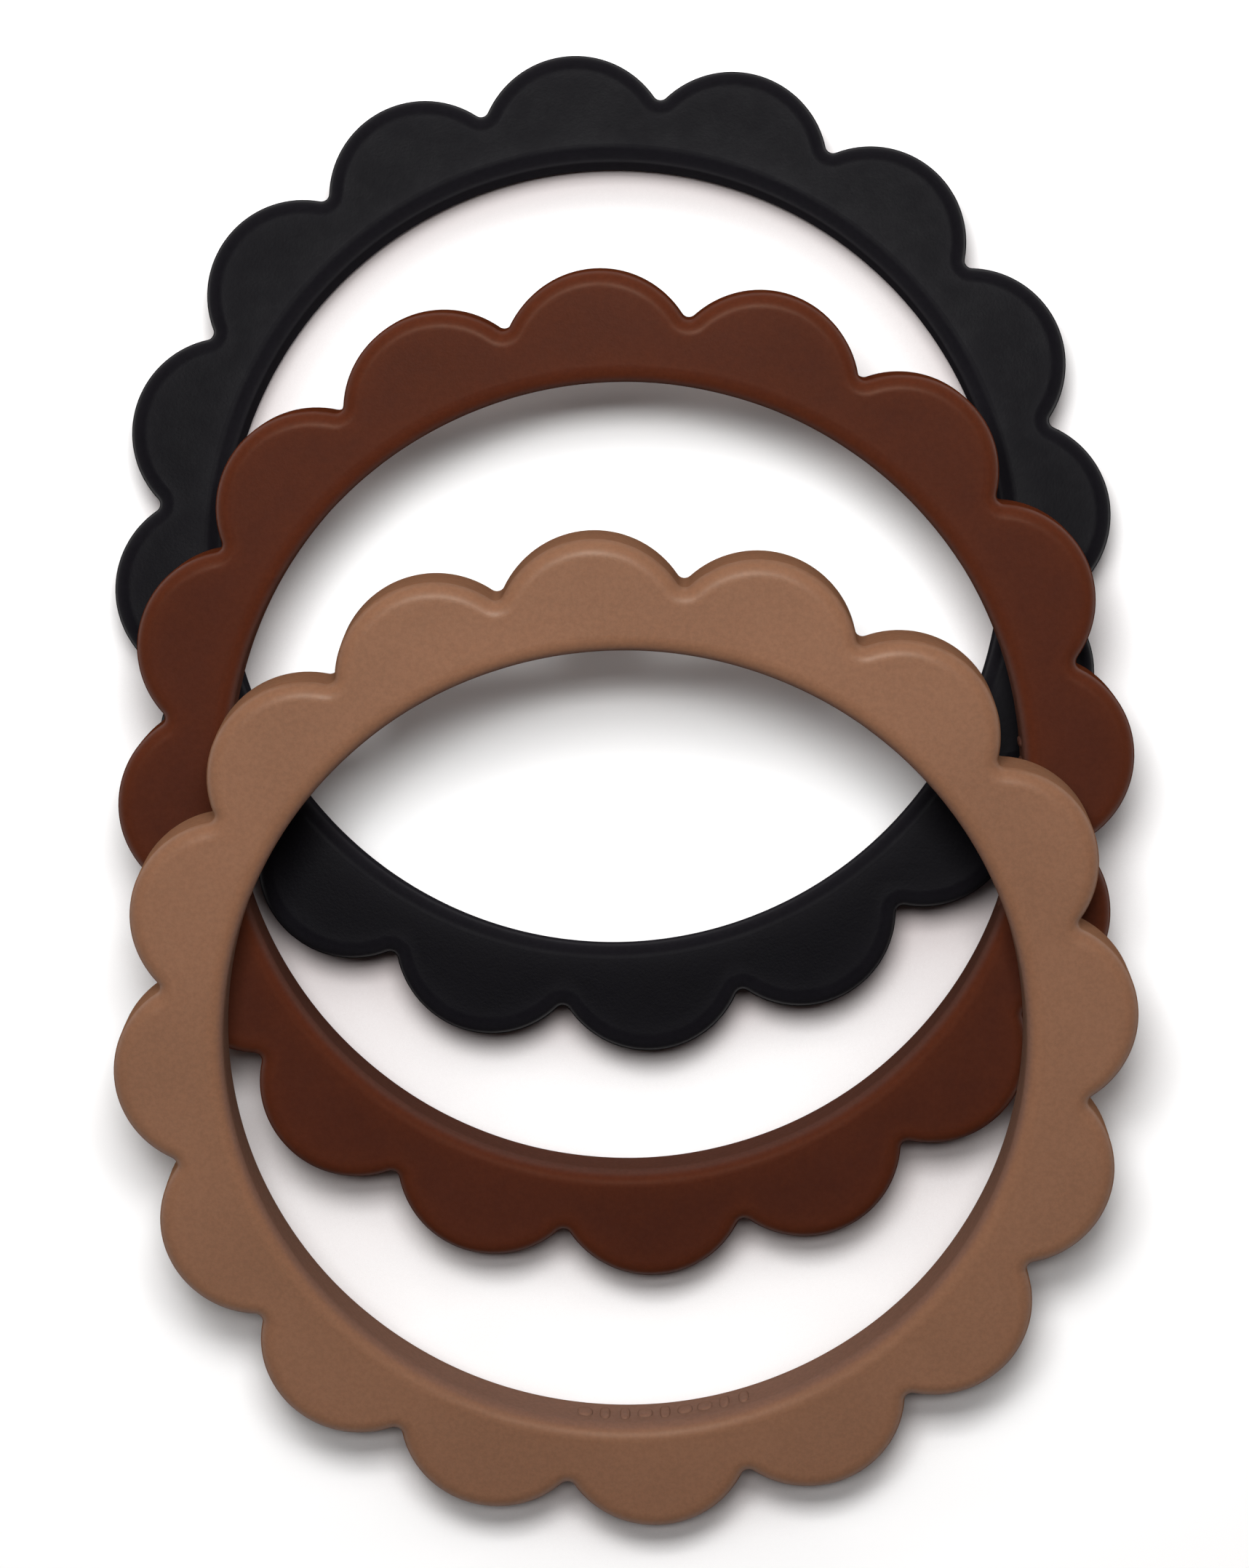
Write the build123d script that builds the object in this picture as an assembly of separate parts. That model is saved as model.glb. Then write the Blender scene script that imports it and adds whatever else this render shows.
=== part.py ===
from build123d import *
import math
import os

# Three loose scalloped rings of one size, fanned on a flat surface. Millimetres, +Z up.
# Origin: on the supporting surface, at the centre of the footprint the three rings cover.
# The rings fan out along -Y: black at the back, brown in the middle, tan at the front.
# Each ring is one solid with a round hole through it.

# ---- One ring, shared by all three ----
LOBES = 16            # scallops round the outside
TIP_RADIUS = 40.0     # centre of the ring to the tip of a lobe
LOBE_RADIUS = 7.7     # radius of each lobe in plan
NOTCH_RADIUS = 0.60   # small concave radius where two lobes meet
HOLE_RADIUS = 31.25
THICKNESS = 6.2
EDGE_ROUND = 1.3      # scalloped edges, top and underside
HOLE_ROUND = 1.3      # hole edges, top and underside

LOBE_CENTRE = TIP_RADIUS - LOBE_RADIUS   # ring centre to the centre of a lobe arc
HALF_PITCH = math.pi / LOBES             # angle from a lobe to the next notch, radians

# ---- How the rings lie ----
# Black lies flat. Brown has its front edge on the surface and its underside on black's two
# sides; tan rests on brown the same way. About 0.04 mm is left open at each contact, so that
# no two solids overlap.
# name: (centre of the underside, spin about the ring's own axis,
#        direction the axis leans toward, amount of lean); angles in degrees
PLACEMENTS = {
    "black_ring": ((1.113, 18.878, 0.0), 0.0, 0.0, 0.0),
    "brown_ring": ((0.703, 1.268, 6.349), -1.76, -90.303, 9.418),
    "tan_ring": ((-1.097, -18.832, 9.253), -1.23, -91.159, 13.776),
}


def turned(x, y, angle):
    """Point (x, y) turned about the ring's centre by an angle in radians."""
    cos, sin = math.cos(angle), math.sin(angle)
    return (x * cos - y * sin, x * sin + y * cos)


def scalloped_outline():
    """Closed wire: lobe arcs joined by small concave arcs, all tangent."""
    # A notch arc touches both neighbouring lobes, so its centre is the sum of the two radii
    # from each lobe's centre.
    notch_centre = LOBE_CENTRE * math.cos(HALF_PITCH) + math.sqrt(
        (LOBE_RADIUS + NOTCH_RADIUS) ** 2 - (LOBE_CENTRE * math.sin(HALF_PITCH)) ** 2
    )
    notch_x, notch_y = turned(notch_centre, 0, HALF_PITCH)

    # Where the lobe on +X hands over to the notch arc.
    touch_angle = math.atan2(notch_y, notch_x - LOBE_CENTRE)
    touch_x = LOBE_CENTRE + LOBE_RADIUS * math.cos(touch_angle)
    touch_y = LOBE_RADIUS * math.sin(touch_angle)

    edges = []
    for k in range(LOBES):
        angle = 2 * HALF_PITCH * k
        lobe_start = turned(touch_x, -touch_y, angle)
        lobe_tip = turned(TIP_RADIUS, 0, angle)
        lobe_end = turned(touch_x, touch_y, angle)
        notch_root = turned(notch_centre - NOTCH_RADIUS, 0, angle + HALF_PITCH)
        next_start = turned(touch_x, -touch_y, angle + 2 * HALF_PITCH)
        edges.append(ThreePointArc(lobe_start, lobe_tip, lobe_end))
        edges.append(ThreePointArc(lobe_end, notch_root, next_start))
    return Wire(edges)


def is_hole_edge(edge):
    return edge.geom_type == GeomType.CIRCLE and abs(edge.radius - HOLE_RADIUS) < 1e-6


def is_end_edge(edge):
    """True for edges lying in the underside or the top."""
    return any(abs(edge.center().Z - z) < 1e-6 for z in (0, THICKNESS))


def make_ring():
    """One solid ring, underside on z = 0, centred on the Z axis."""
    body = extrude(make_face(scalloped_outline()), THICKNESS)
    body = body - Cylinder(HOLE_RADIUS, THICKNESS * 3)
    rim = [e for e in body.edges() if is_end_edge(e) and not is_hole_edge(e)]
    body = fillet(rim, EDGE_ROUND)
    # The fillet makes a new body, so the hole's edges are picked from that one.
    body = fillet([e for e in body.edges() if is_hole_edge(e)], HOLE_ROUND)
    return body.solids()[0]


def lay(ring, centre, spin, lean_direction, lean):
    """Spin the ring, lean its axis toward lean_direction, then move it to its place."""
    direction = math.radians(lean_direction)
    # The ring tilts about the horizontal line square to the lean direction.
    tilt_axis = Axis((0, 0, 0), (-math.sin(direction), math.cos(direction), 0))
    return ring.rotate(Axis.Z, spin).rotate(tilt_axis, lean).translate(centre)


ring = make_ring()
os.makedirs("parts", exist_ok=True)
for name, placement in PLACEMENTS.items():
    export_step(lay(ring, *placement), f"parts/{name}.step")
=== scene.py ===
"""Three scalloped silicone rings, black, brown and tan, laid in an overlapping row.

Z is up and the floor is z = 0. The black ring lies flat on the +Y side. The brown and tan
rings follow toward -Y, each with its -Y edge low and its +Y side resting on the ring before.
Each ring is modelled in millimetres around its own Z axis, with its underside at z = 0.
"""
import math

import bpy
import numpy as np
from mathutils import Matrix, Vector


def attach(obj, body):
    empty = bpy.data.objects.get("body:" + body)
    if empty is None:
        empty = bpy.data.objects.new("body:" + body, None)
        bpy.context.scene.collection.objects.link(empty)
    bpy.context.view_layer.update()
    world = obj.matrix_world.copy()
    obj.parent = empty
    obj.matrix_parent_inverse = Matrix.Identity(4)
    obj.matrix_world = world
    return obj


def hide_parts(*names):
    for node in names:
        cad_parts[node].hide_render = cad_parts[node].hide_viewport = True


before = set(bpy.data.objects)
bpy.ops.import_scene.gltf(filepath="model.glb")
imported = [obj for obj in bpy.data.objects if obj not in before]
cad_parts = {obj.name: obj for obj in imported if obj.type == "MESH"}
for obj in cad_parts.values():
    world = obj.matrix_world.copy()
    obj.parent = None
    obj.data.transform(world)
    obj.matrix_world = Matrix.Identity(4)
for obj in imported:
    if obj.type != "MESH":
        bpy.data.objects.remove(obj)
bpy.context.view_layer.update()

MM = 0.001

# ------------------------------------------------------------------ ring shape (millimetres)
LOBES = 16
TIP_RADIUS = 40.0         # ring axis to the tip of a lobe
LOBE_RADIUS = 7.7
NOTCH_RADIUS = 0.60       # fillet between two lobes
HOLE_RADIUS = 31.25
THICKNESS = 6.2
EDGE_RADIUS = 1.3         # rounding of all four edges
LOBE_SEGMENTS = 34
NOTCH_SEGMENTS = 8

HALF_PITCH = math.pi / LOBES                    # angle from a lobe to the notch beside it
LOBE_CENTRE = TIP_RADIUS - LOBE_RADIUS          # distances from the ring axis
NOTCH_CENTRE = LOBE_CENTRE * math.cos(HALF_PITCH) + math.sqrt(
    (LOBE_RADIUS + NOTCH_RADIUS) ** 2 - (LOBE_CENTRE * math.sin(HALF_PITCH)) ** 2)
HOLE_EDGE = HOLE_RADIUS + EDGE_RADIUS           # where the flat faces meet the hole's rounding

# heights of the section's rows
WALL_LOW, MIDDLE, WALL_HIGH = EDGE_RADIUS, THICKNESS / 2, THICKNESS - EDGE_RADIUS
OUTER_WALL = [WALL_LOW + 0.35, WALL_LOW + 0.95,
              *(MIDDLE + z for z in (-0.36, -0.16, -0.05, 0.05, 0.16, 0.36)),
              WALL_HIGH - 0.95, WALL_HIGH - 0.35]
HOLE_WALL = [WALL_HIGH - 0.35, WALL_HIGH - 0.95,
             *(MIDDLE + z for z in (0.36, 0.12, -0.12, -0.36)),
             WALL_LOW + 0.95, WALL_LOW + 0.35]
# rows of the flat faces, as fractions of the way from the outer rounding to the hole's
TOP_FACE = (0.03, 0.09, 0.2, 0.35, 0.5, 0.65, 0.8, 0.91, 0.97)
UNDERSIDE = (0.97, 0.91, 0.7, 0.5, 0.3, 0.09, 0.03)
ROUND_ROWS = 9            # rows across a rounded edge
OUTER_TOP_ROWS = 11       # the same, on the outer top edge

SEAM_DEPTH = 0.014        # fine groove round the middle of the outer wall
SEAM_WIDTH = 0.10
FACE_RIM = 0.25           # "rim" value where a flat face meets a rounding
RIM_FADE = 0.9            # distance over which it fades out across the face

# first row of the outer wall, and of the hole's top rounding
OUTER_WALL_ROW = ROUND_ROWS
HOLE_TOP_ROW = ROUND_ROWS + len(OUTER_WALL) + OUTER_TOP_ROWS + len(TOP_FACE)

# raised marks on the hole's wall: half width, half height
SQUAT, TALL = (0.62, 0.85), (0.42, 1.20)
MARKS = (SQUAT, TALL, TALL, SQUAT, TALL, SQUAT, SQUAT, TALL, TALL)
MARK_PITCH = 1.60
MARK_LIFT = 0.20          # height above the wall
MARK_BURY = 0.12          # depth of the base inside the wall
MARK_SIDES, MARK_LEVELS = 16, 8

# leftover flash: tiny raised spots
NICK_ARC_RADIUS = 36.0    # turns the angle from a spot into a length
NICK_REACH = 2            # section rows moved on either side
NICK_ROW_FADE = 1.2

# centre: middle of the underside (mm); turn: about the ring's axis; toward: direction the
# axis leans; lean: how far; marks_at: angle of the marks' middle (all in degrees);
# uneven: depth of the soft waviness (mm); nicks: (degrees, section row, size mm, lift mm)
RINGS = {
    "black": dict(centre=(1.113, 18.878, 0.0), turn=0.0, toward=0.0, lean=0.0,
                  marks_at=0, seed=11, uneven=0.010, nicks=()),
    "brown": dict(centre=(0.703, 1.268, 6.349), turn=-1.76, toward=-90.303, lean=9.418,
                  marks_at=-10, seed=23, uneven=0.020,
                  nicks=((146, HOLE_TOP_ROW + 3, 0.5, 0.10),
                         (188, OUTER_WALL_ROW + 5, 0.4, 0.12))),
    "tan": dict(centre=(-1.097, -18.832, 9.253), turn=-1.23, toward=-91.159, lean=13.776,
                marks_at=-88.3, seed=37, uneven=0.020, nicks=()),
}


def arc_points(angles, radius, centre=(0.0, 0.0)):
    return np.c_[centre[0] + radius * np.cos(angles), centre[1] + radius * np.sin(angles)]


def outline(inset):
    """Scalloped outline moved inward by inset, as x, y rows; the count never changes."""
    notch_centre = NOTCH_CENTRE * np.array([math.cos(HALF_PITCH), math.sin(HALF_PITCH)])
    touch = math.atan2(notch_centre[1], notch_centre[0] - LOBE_CENTRE)
    lobe_angles = np.linspace(-touch, touch, LOBE_SEGMENTS + 1)
    notch_start = touch + math.pi
    notch_end = 2 * HALF_PITCH - notch_start + 2 * math.pi
    notch_angles = np.linspace(notch_start, notch_end, NOTCH_SEGMENTS + 1)[1:-1]
    unit = np.vstack([arc_points(lobe_angles, LOBE_RADIUS - inset, (LOBE_CENTRE, 0.0)),
                      arc_points(notch_angles, NOTCH_RADIUS + inset, notch_centre)])
    turned = []
    for k in range(LOBES):
        angle = 2 * HALF_PITCH * k
        c, s = math.cos(angle), math.sin(angle)
        turned.append(unit @ np.array([[c, -s], [s, c]]).T)
    return np.vstack(turned)


OUTER = outline(0.0)
THETA = np.arctan2(OUTER[:, 1], OUTER[:, 0])
AROUND = len(OUTER)


def quarter(first, last, count):
    """Sine and cosine at even steps between two angles in degrees."""
    for degrees in np.linspace(first, last, count):
        yield math.sin(math.radians(degrees)), math.cos(math.radians(degrees))


def section_rows():
    """Rows round the closed section; each point is x, y, z, rim, seam, wall.

    rim is 1 on the walls and falls to 0 on the flat faces, seam is 1 on the outer wall's
    groove, and wall is 1 on the wall of the hole.
    """
    rows = []

    def add(xy, z, rim, seam=0.0, wall=0.0):
        rows.append(np.c_[xy, *(np.full(AROUND, value) for value in (z, rim, seam, wall))])

    def add_face(z, fractions):
        outer, hole = outline(EDGE_RADIUS), arc_points(THETA, HOLE_EDGE)
        gap = np.linalg.norm(outer - hole, axis=1)
        for f in fractions:
            to_edge = np.minimum(f, 1 - f) * gap
            add(outer + (hole - outer) * f, z, FACE_RIM * np.exp(-(to_edge / RIM_FADE) ** 1.3))

    # outer side, from the underside up
    for s, c in quarter(0, 90, ROUND_ROWS):
        add(outline(EDGE_RADIUS * (1 - s)), EDGE_RADIUS * (1 - c), min(1.0, FACE_RIM + 1.5 * s))
    for z in OUTER_WALL:
        groove = SEAM_DEPTH * math.exp(-((z - MIDDLE) / SEAM_WIDTH) ** 2)
        add(outline(-groove), z, 1.0, seam=1.0 if groove > SEAM_DEPTH / 2 else 0.0)
    for s, c in quarter(0, 90, OUTER_TOP_ROWS):
        add(outline(EDGE_RADIUS * (1 - c)), WALL_HIGH + EDGE_RADIUS * s, FACE_RIM + 0.75 * c)
    add_face(THICKNESS, TOP_FACE)
    # hole, from the top down
    for s, c in quarter(0, 90, ROUND_ROWS):
        add(arc_points(THETA, HOLE_RADIUS + EDGE_RADIUS * (1 - s)),
            THICKNESS - EDGE_RADIUS * (1 - c), FACE_RIM + 0.75 * s, wall=0.3 + 0.7 * s ** 4)
    for z in HOLE_WALL:
        add(arc_points(THETA, HOLE_RADIUS), z, 1.0, wall=1.0)
    for s, c in quarter(90, 0, ROUND_ROWS):
        add(arc_points(THETA, HOLE_RADIUS + EDGE_RADIUS * (1 - s)),
            EDGE_RADIUS * (1 - c), min(1.0, FACE_RIM + 1.5 * s), wall=min(1.0, 2 * s))
    add_face(0.0, UNDERSIDE)
    return np.array(rows)


SECTION = section_rows()


def unevenness(points, seed, depth):
    """Gentle unevenness of a soft moulding, always inward: 0 to -depth."""
    wave_count = 9
    rng = np.random.default_rng(seed)
    total = np.zeros(len(points))
    for _ in range(wave_count):
        wave = rng.normal(size=3)
        wave *= rng.uniform(0.22, 0.75) / np.linalg.norm(wave)    # radians per millimetre
        total += np.sin(points @ wave + rng.uniform(0, 2 * math.pi))
    return -depth * (0.5 + 0.5 * np.tanh(total / wave_count ** 0.5))


def grid_normals(grid):
    """Outward normals of a grid that closes on itself both ways."""
    across = np.roll(grid, -1, 0) - np.roll(grid, 1, 0)
    along = np.roll(grid, -1, 1) - np.roll(grid, 1, 1)
    normals = np.cross(along, across)
    return normals / np.maximum(np.linalg.norm(normals, axis=2, keepdims=True), 1e-9)


def ring_body(seed, uneven, nicks):
    """Vertices and faces of the ring itself."""
    grid = SECTION[..., :3]
    rows = len(grid)
    offset = unevenness(grid.reshape(-1, 3), seed, uneven).reshape(rows, AROUND)
    for degrees, row, size, lift in nicks:
        angle = (THETA - math.radians(degrees) + math.pi) % (2 * math.pi) - math.pi
        spot = lift * np.exp(-(angle * NICK_ARC_RADIUS / size) ** 2)
        for k in range(-NICK_REACH, NICK_REACH + 1):
            offset[row + k] += spot * math.exp(-(k / NICK_ROW_FADE) ** 2)
    grid = grid + grid_normals(grid) * offset[..., None]
    faces = []
    for i in range(rows):
        here, after = i * AROUND, (i + 1) % rows * AROUND
        for j in range(AROUND):
            j2 = (j + 1) % AROUND
            faces.append((here + j, here + j2, after + j2, after + j))
    return grid.reshape(-1, 3).tolist(), faces


def mark(centre_angle, half_width, half_height):
    """A small closed dome on the hole's wall: a rounded rectangle swelling out of it."""
    def on_wall(angle, radius, z):
        return radius * math.cos(angle), radius * math.sin(angle), z

    buried = HOLE_RADIUS + MARK_BURY
    verts, faces = [], []
    for j in range(MARK_LEVELS):
        rise = j / MARK_LEVELS * math.pi / 2
        shrink = math.cos(rise) ** 0.55
        radius = buried - (MARK_LIFT + MARK_BURY) * math.sin(rise) ** 0.7
        for i in range(MARK_SIDES):
            angle = -2 * math.pi * i / MARK_SIDES
            c, s = math.cos(angle), math.sin(angle)
            corner = (abs(c) ** 3 + abs(s) ** 3) ** (-1 / 3)      # circle to rounded rectangle
            across = half_width * corner * c * shrink
            up = half_height * corner * s * shrink
            verts.append(on_wall(centre_angle + across / HOLE_RADIUS, radius, MIDDLE + up))
    top, base = len(verts), len(verts) + 1
    verts.append(on_wall(centre_angle, HOLE_RADIUS - MARK_LIFT, MIDDLE))
    verts.append(on_wall(centre_angle, buried, MIDDLE))
    for j in range(MARK_LEVELS - 1):
        for i in range(MARK_SIDES):
            a, b = j * MARK_SIDES + i, j * MARK_SIDES + (i + 1) % MARK_SIDES
            faces.append((a, b, b + MARK_SIDES, a + MARK_SIDES))
    last = (MARK_LEVELS - 1) * MARK_SIDES
    for i in range(MARK_SIDES):
        i2 = (i + 1) % MARK_SIDES
        faces.append((last + i, last + i2, top))
        faces.append((i2, i, base))
    return verts, faces


def ring_matrix(centre, turn, toward, lean):
    direction = math.radians(toward)
    hinge = Vector((-math.sin(direction), math.cos(direction), 0.0))
    return (Matrix.Translation([value * MM for value in centre])
            @ Matrix.Rotation(math.radians(lean), 4, hinge)
            @ Matrix.Rotation(math.radians(turn), 4, "Z"))


def build_ring(name, marks_at, seed, uneven, nicks, **lay):
    verts, faces = ring_body(seed, uneven, nicks)
    body_count = len(verts)
    for k, (half_width, half_height) in enumerate(MARKS):
        steps = k - (len(MARKS) - 1) / 2
        angle = math.radians(marks_at) + steps * MARK_PITCH / HOLE_RADIUS
        mark_verts, mark_faces = mark(angle, half_width, half_height)
        base = len(verts)
        verts += mark_verts
        faces += [tuple(base + corner for corner in face) for face in mark_faces]

    mesh = bpy.data.meshes.new(name + "_ring_silicone")
    mesh.from_pydata([(x * MM, y * MM, z * MM) for x, y, z in verts], [], faces)
    mesh.update()
    # the last number is the value on the marks
    for column, attribute, on_marks in ((3, "rim", 1.0), (4, "seam", 0.0), (5, "wall", 1.0)):
        values = np.full(len(verts), on_marks, dtype=np.float32)
        values[:body_count] = SECTION[..., column].reshape(-1)
        mesh.attributes.new(attribute, "FLOAT", "POINT").data.foreach_set("value", values)
    mesh.polygons.foreach_set("use_smooth", [True] * len(mesh.polygons))
    mesh.transform(ring_matrix(**lay))
    mesh.update()
    ring = bpy.data.objects.new(name + "_ring_silicone", mesh)
    bpy.context.scene.collection.objects.link(ring)
    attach(ring, name)
    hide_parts(name + "_ring")
    return ring


# ------------------------------------------------------------------ shader helpers
class Shader:
    """Adds nodes to a tree. Any input may be given a value or another node's output."""

    def __init__(self, owner):
        owner.use_nodes = True
        self.tree = owner.node_tree

    def feed(self, node, inputs):
        for key, value in inputs.items():
            if isinstance(value, bpy.types.NodeSocket):
                self.tree.links.new(value, node.inputs[key])
            else:
                node.inputs[key].default_value = value

    def node(self, kind, inputs=None, **settings):
        node = self.tree.nodes.new("ShaderNode" + kind)
        for key, value in settings.items():
            setattr(node, key, value)
        self.feed(node, inputs or {})
        return node

    def ramp(self, value, start, end, low=0.0, high=1.0):
        """Smooth step from low at start to high at end."""
        return self.node("MapRange", {"Value": value, "From Min": start, "From Max": end,
                                      "To Min": low, "To Max": high},
                         interpolation_type="SMOOTHSTEP").outputs["Result"]

    def mix(self, factor, a, b, blend="MIX"):
        # 6, 7 and 2 are the colour sockets A, B and Result
        return self.node("Mix", {0: factor, 6: a, 7: b},
                         data_type="RGBA", blend_type=blend).outputs[2]

    def math(self, operation, a, b):
        return self.node("Math", {0: a, 1: b}, operation=operation).outputs[0]


# ------------------------------------------------------------------ silicone material
NOISE_SHIFT = (0.013, 0.029, 0.007)     # metres the noise moves per unit of seed
DUST_COLOUR = (0.5, 0.48, 0.45, 1.0)
DUST = 0.0                              # strength of the dust specks; 0 is clean
GRAZE = 0.0                             # share of the walls' specular left at glancing angles


def scaled(colour, factor):
    return (*(channel * factor for channel in colour[:3]), 1.0)


def silicone(name, seed, face, rim_tone_and_glow, wall_shade_and_reflection, lip, mottled, rough,
             spec, side, gloss, glint, sss, sss_radius):
    material = bpy.data.materials.new(name + "_silicone_matte")
    shader = Shader(material)
    ramp, mix, calc = shader.ramp, shader.mix, shader.math

    place = shader.node("TexCoord").outputs["Object"]
    place = shader.node("Mapping", {
        "Vector": place, "Location": [seed * shift for shift in NOISE_SHIFT]}).outputs["Vector"]

    def noise(scale, detail, roughness=0.5):
        return shader.node("TexNoise", {"Vector": place, "Scale": scale, "Detail": detail,
                                        "Roughness": roughness}).outputs["Fac"]

    rim, seam, inner = (shader.node("Attribute", attribute_name=attribute).outputs["Fac"]
                        for attribute in ("rim", "seam", "wall"))
    wall = ramp(inner, start=0.3, end=lip)      # 1 on the wall of the hole
    hole = ramp(inner, start=0.0, end=0.3)      # 1 on the wall and its rounding

    cloud = noise(scale=55.0, detail=3.0)                       # tone drift, about 20 mm
    mottle = noise(scale=420.0, detail=4.0, roughness=0.6)      # soft mottle, about 2 mm
    grain = noise(scale=5200.0, detail=2.0)                     # mould texture, about 0.2 mm
    fine = noise(scale=16000.0, detail=1.0)

    # colour
    colour = mix(ramp(cloud, start=0.35, end=0.65), scaled(face, 0.95), scaled(face, 1.05))
    colour = mix(ramp(mottle, start=0.30, end=0.70, high=0.10 * mottled), colour, rim_tone_and_glow)
    # the rims are mixed toward the rim colour: on brown and tan a painted glow of light through
    # the silicone's edges; on black lighter rims, partly real tone and partly a painted
    # reflection at glancing angles
    colour = mix(calc("MULTIPLY", rim, 0.62), colour, rim_tone_and_glow)
    tooth = noise(scale=2600.0, detail=3.0, roughness=0.7)      # matte tooth, about 0.4 mm
    tooth = ramp(tooth, start=0.30, end=0.70, low=0.93, high=1.07)
    colour = mix(1.0, colour, tooth, "MULTIPLY")
    colour = mix(calc("MULTIPLY", seam, 0.15), colour, scaled(rim_tone_and_glow, 1.2))
    # the hole's wall is recoloured as painted light: darker on tan as painted shade, lifted
    # toward grey on brown and lighter on black as a painted reflection of the floor
    colour = mix(wall, colour, mix(1.0, colour, (*wall_shade_and_reflection, 1.0), "MULTIPLY"))
    speck = noise(scale=2600.0, detail=0.0)
    colour = mix(ramp(speck, start=0.80, end=0.90, high=DUST), colour, DUST_COLOUR)

    # roughness
    roughness = ramp(mottle, start=0.25, end=0.75, low=rough - 0.03, high=rough + 0.04)
    roughness = calc("ADD", roughness, calc("MULTIPLY", grain, 0.05))

    # surface relief
    height = calc("ADD", calc("MULTIPLY", grain, 0.7), calc("MULTIPLY", fine, 0.3))
    height = calc("ADD", height, calc("MULTIPLY", mottle, 1.2))
    bump = shader.node("Bump", {"Strength": 0.35, "Distance": 0.00003, "Height": height})

    # specular level: faces, outer wall and hole, then the outer rounding, then the
    # walls' loss at glancing angles, as micro-roughness gives
    facing = shader.node("LayerWeight", {"Blend": 0.5}).outputs["Facing"]
    glance = ramp(facing, start=0.42, end=0.72, low=1.0, high=GRAZE)
    outer = calc("MULTIPLY", ramp(rim, start=0.80, end=1.0, high=side),
                 calc("SUBTRACT", 1.0, wall))
    level = calc("ADD", ramp(wall, start=0.0, end=1.0, low=spec, high=spec * 0.25), outer)
    level = calc("MULTIPLY", level, ramp(hole, start=0.0, end=1.0, low=1.0, high=0.6))
    rounding = calc("MULTIPLY", ramp(rim, start=0.26, end=0.45),
                    ramp(rim, start=0.75, end=0.98, low=gloss, high=0.0))
    level = calc("ADD", level, calc("MULTIPLY", rounding, calc("SUBTRACT", 1.0, hole)))
    on_wall = ramp(rim, start=0.60, end=0.95)
    level = calc("MULTIPLY", level, calc("ADD", calc("SUBTRACT", 1.0, on_wall),
                                         calc("MULTIPLY", on_wall, glance)))

    shader.feed(shader.tree.nodes["Principled BSDF"], {
        "Base Color": colour,
        "Roughness": roughness,
        "Normal": bump.outputs["Normal"],
        "IOR": 1.43,
        "Specular IOR Level": level,
        "Specular Tint": (*glint, 1.0),
        "Subsurface Weight": sss,
        "Subsurface Radius": sss_radius,
        "Subsurface Scale": 0.001,
        "Sheen Weight": 0.0,
        "Sheen Roughness": 0.4,
    })
    return material


# face: colour of the flat faces; rim_tone_and_glow: colour of the rims, partly real tone
# and partly painted light, a painted glow on brown and tan and a painted reflection on black;
# wall_shade_and_reflection: multiplies the colour on the hole's wall, painted shade on tan and
# a painted reflection on brown and black; lip: "wall" value where that is full; mottled:
# strength of the mottle; spec, side, gloss: specular of the faces, added on the outer wall,
# added on the outer roundings; glint: specular tint; sss: subsurface weight, with its radius in
# mm
SILICONES = {
    "black": dict(seed=1, face=(0.0013, 0.0010, 0.0019, 1), rim_tone_and_glow=(0.0150, 0.0142, 0.0165, 1),
                  wall_shade_and_reflection=(1.6, 1.6, 1.6), lip=1.0, mottled=0.4, rough=0.33,
                  spec=0.022, side=0.20, gloss=0.0, glint=(1.0, 1.0, 1.0),
                  sss=0.0, sss_radius=(1, 1, 1)),
    "brown": dict(seed=2, face=(0.043, 0.0120, 0.0068, 1), rim_tone_and_glow=(0.080, 0.0178, 0.0055, 1),
                  wall_shade_and_reflection=(1.10, 1.90, 3.40), lip=0.72, mottled=1.0, rough=0.37,
                  spec=0.050, side=0.20, gloss=0.055, glint=(1.0, 0.66, 0.48),
                  sss=0.12, sss_radius=(1.2, 0.4, 0.2)),
    "tan": dict(seed=3, face=(0.169, 0.085, 0.050, 1), rim_tone_and_glow=(0.178, 0.084, 0.045, 1),
                wall_shade_and_reflection=(0.86, 0.94, 1.16), lip=0.72, mottled=1.0, rough=0.38,
                spec=0.18, side=0.15, gloss=0.0, glint=(1.0, 0.88, 0.76),
                sss=0.15, sss_radius=(1.2, 0.6, 0.4)),
}

materials = {name: silicone(name, **look) for name, look in SILICONES.items()}
rings = {name: build_ring(name, **ring) for name, ring in RINGS.items()}
for name, ring in rings.items():
    ring.data.materials.append(materials[name])
    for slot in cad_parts[name + "_ring"].material_slots:
        slot.link = "OBJECT"
        slot.material = materials[name]

# ------------------------------------------------------------------ floor (metres)
FLOOR_HALF = 3
FLOOR_DROP = 0.00002      # keeps the floor just clear of the undersides
FLOOR_WHITE = (0.93, 0.93, 0.93, 1)


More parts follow.
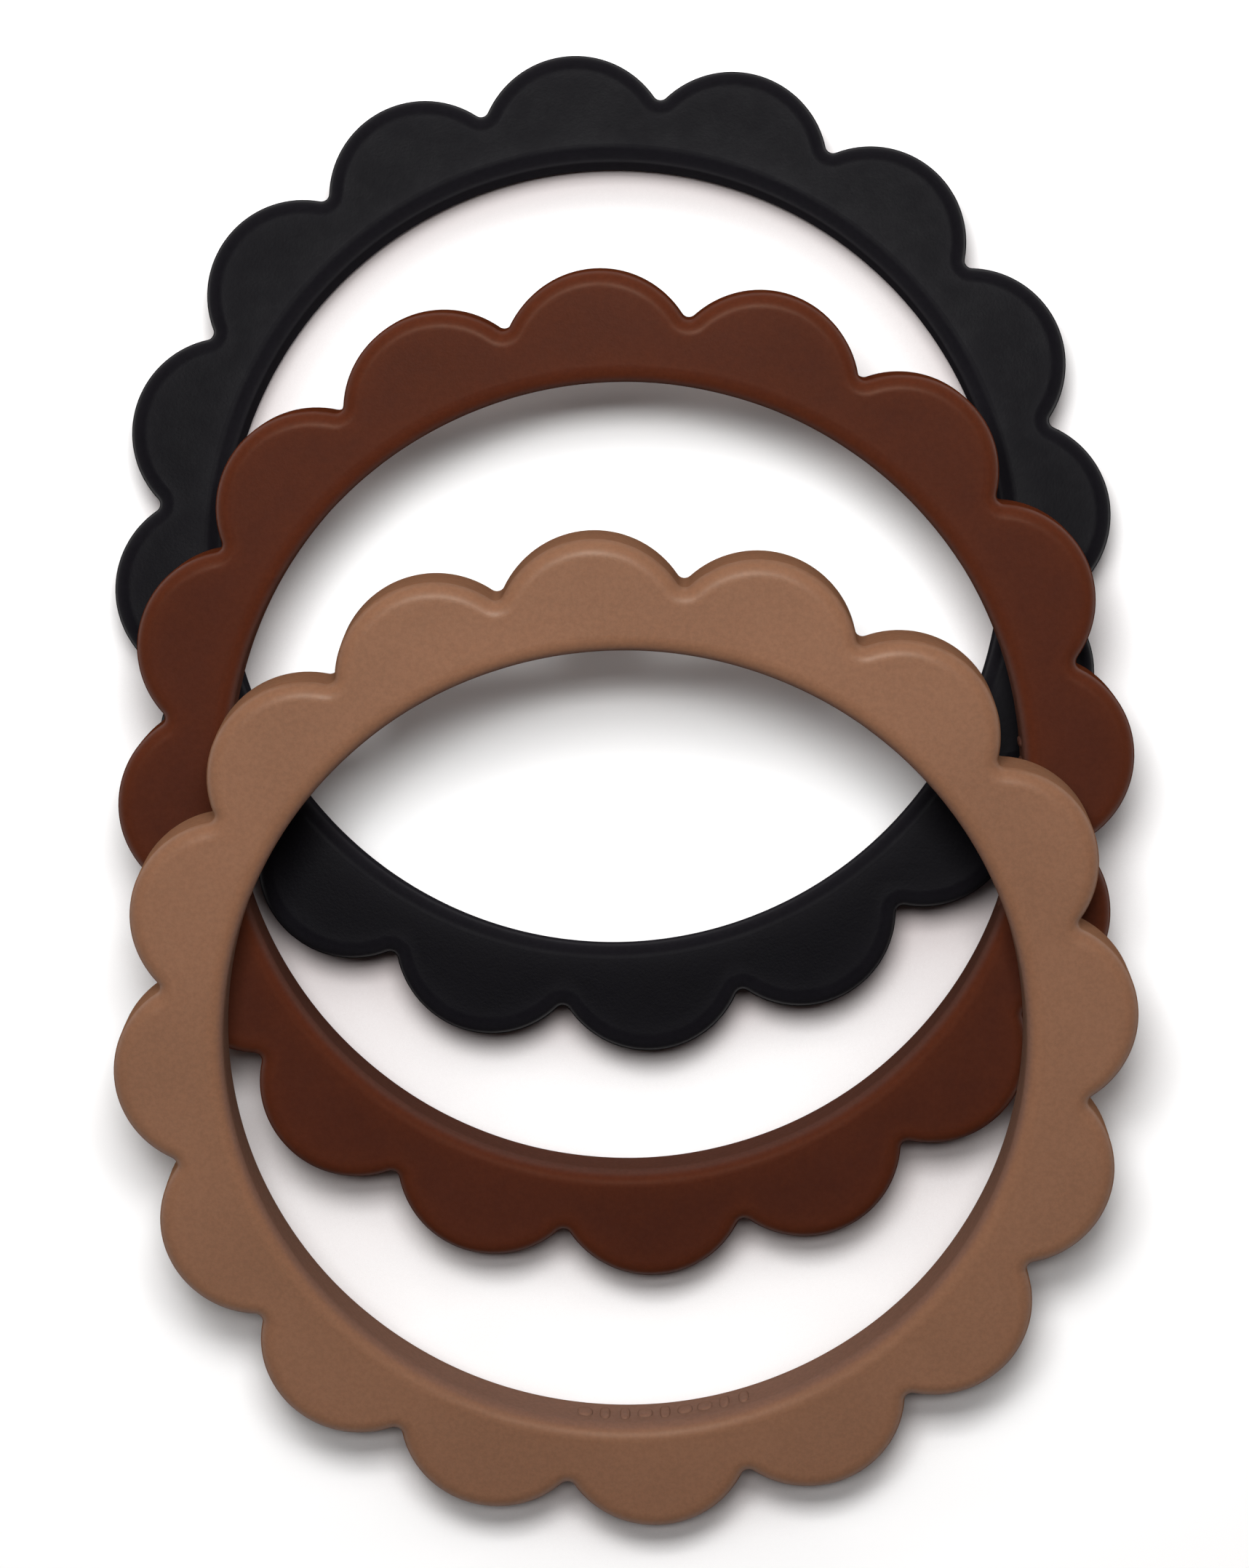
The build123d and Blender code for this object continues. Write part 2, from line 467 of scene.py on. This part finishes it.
def floor_material():
    """White that glows away from the rings, with painted warm shade close to them."""
    material = bpy.data.materials.new("floor_white")
    shader = Shader(material)
    position = shader.node("NewGeometry").outputs["Position"]
    distance = shader.node("VectorMath", {0: position}, operation="LENGTH").outputs["Value"]
    glow = shader.ramp(distance, start=0.07, end=0.30)
    # occlusion is gathered 30 degrees off vertical, toward +Y
    lean = shader.node("CombineXYZ", {"Y": 0.5, "Z": 0.866}).outputs[0]
    openness = shader.node("AmbientOcclusion", {"Distance": 0.014, "Normal": lean},
                           samples=12).outputs["AO"]
    # painted shade: the floor turns darker and warmer where the occlusion test finds the rings
    # close
    shade = shader.mix(shader.ramp(openness, start=0.15, end=0.81),
                       a=(0.44, 0.382, 0.378, 1), b=(0.86, 0.86, 0.86, 1))
    bsdf = shader.tree.nodes["Principled BSDF"]
    bsdf.inputs["Base Color"].default_value = FLOOR_WHITE
    shader.feed(bsdf, {
        "Base Color": shade,
        "Roughness": 0.8,
        "Specular IOR Level": 0.1,
        "Emission Color": FLOOR_WHITE,
        "Emission Strength": glow,
    })
    return material


def build_floor():
    mesh = bpy.data.meshes.new("floor")
    corners = ((-1, -1), (1, -1), (1, 1), (-1, 1))
    mesh.from_pydata([(x * FLOOR_HALF, y * FLOOR_HALF, 0) for x, y in corners],
                     [], [(0, 1, 2, 3)])
    floor = bpy.data.objects.new("floor", mesh)
    bpy.context.scene.collection.objects.link(floor)
    floor.location = (0, 0, -FLOOR_DROP)
    mesh.materials.append(floor_material())


# ------------------------------------------------------------------ world, lights, camera
def build_world():
    """White to the camera; to everything else a pale room low down, dim overhead."""
    world = bpy.data.worlds.new("studio")
    bpy.context.scene.world = world
    shader = Shader(world)
    is_camera = shader.node("LightPath").outputs["Is Camera Ray"]
    direction = shader.node("TexCoord").outputs["Generated"]
    height = shader.node("SeparateXYZ", {0: direction}).outputs["Z"]
    room = shader.ramp(height, start=0.06, end=0.42, low=0.34, high=0.025)
    colour = shader.mix(is_camera, a=room, b=(1.0, 1.0, 1.0, 1))
    shader.feed(shader.tree.nodes["Background"], {"Color": colour})


WHITE = (1.0, 1.0, 1.0)
WARM = (1.0, 0.91, 0.88)
PANEL_DISTANCE = 0.9      # metres from the origin to a tilted panel


def panel(name, position, target, size, power, colour=WHITE):
    """A rectangular area light facing target; sizes in metres, power in watts."""
    light = bpy.data.lights.new(name, "AREA")
    light.shape = "RECTANGLE"
    light.size, light.size_y = size
    light.energy = power
    light.color = colour
    lamp = bpy.data.objects.new(name, light)
    bpy.context.scene.collection.objects.link(lamp)
    lamp.location = position
    lamp.rotation_mode = "QUATERNION"
    lamp.rotation_quaternion = (Vector(target) - Vector(position)).to_track_quat("-Z", "Y")


def tilted_panel(name, degrees, size, power, colour=WHITE):
    """A panel aimed at the origin, moved from straight overhead toward +Y."""
    tilt = math.radians(degrees)
    position = (0.0, PANEL_DISTANCE * math.sin(tilt), PANEL_DISTANCE * math.cos(tilt))
    panel(name, position, (0, 0, 0), size, power, colour)


def build_lights():
    tilted_panel("overhead", degrees=6.0, size=(0.36, 0.10), power=2.6)
    # the target is a hair off plumb, which fixes the panel's turn
    panel("near_overhead", position=(0.0, 0.066, 0.25), target=(0.0, 0.06601, 0.0),
          size=(0.11, 0.075), power=0.71)
    tilted_panel("far_high", degrees=31.0, size=(0.80, 0.14), power=1.25, colour=WARM)
    tilted_panel("far_low", degrees=54.0, size=(0.90, 0.16), power=0.9, colour=WARM)


CAMERA_PLACE = (0.009203, -0.005294, 0.356949)
CAMERA_LOOK = (-0.024824, 0.01592, -0.999565)     # almost straight down
CAMERA_UP = (0.090659, 0.995789, 0.013609)        # top of the frame, close to +Y


def build_camera():
    lens = bpy.data.cameras.new("camera")
    lens.sensor_width = 36.0
    lens.lens = 101.04
    lens.clip_start, lens.clip_end = 0.01, 10.0
    camera = bpy.data.objects.new("camera", lens)
    bpy.context.scene.collection.objects.link(camera)
    look = Vector(CAMERA_LOOK).normalized()
    right = look.cross(Vector(CAMERA_UP).normalized()).normalized()
    axes = Matrix((right, right.cross(look), -look)).transposed()
    camera.matrix_world = Matrix.Translation(CAMERA_PLACE) @ axes.to_4x4()
    bpy.context.scene.camera = camera


build_floor()
build_world()
build_lights()
build_camera()
bpy.context.scene.view_settings.view_transform = "Standard"
bpy.context.scene.view_settings.look = "None"
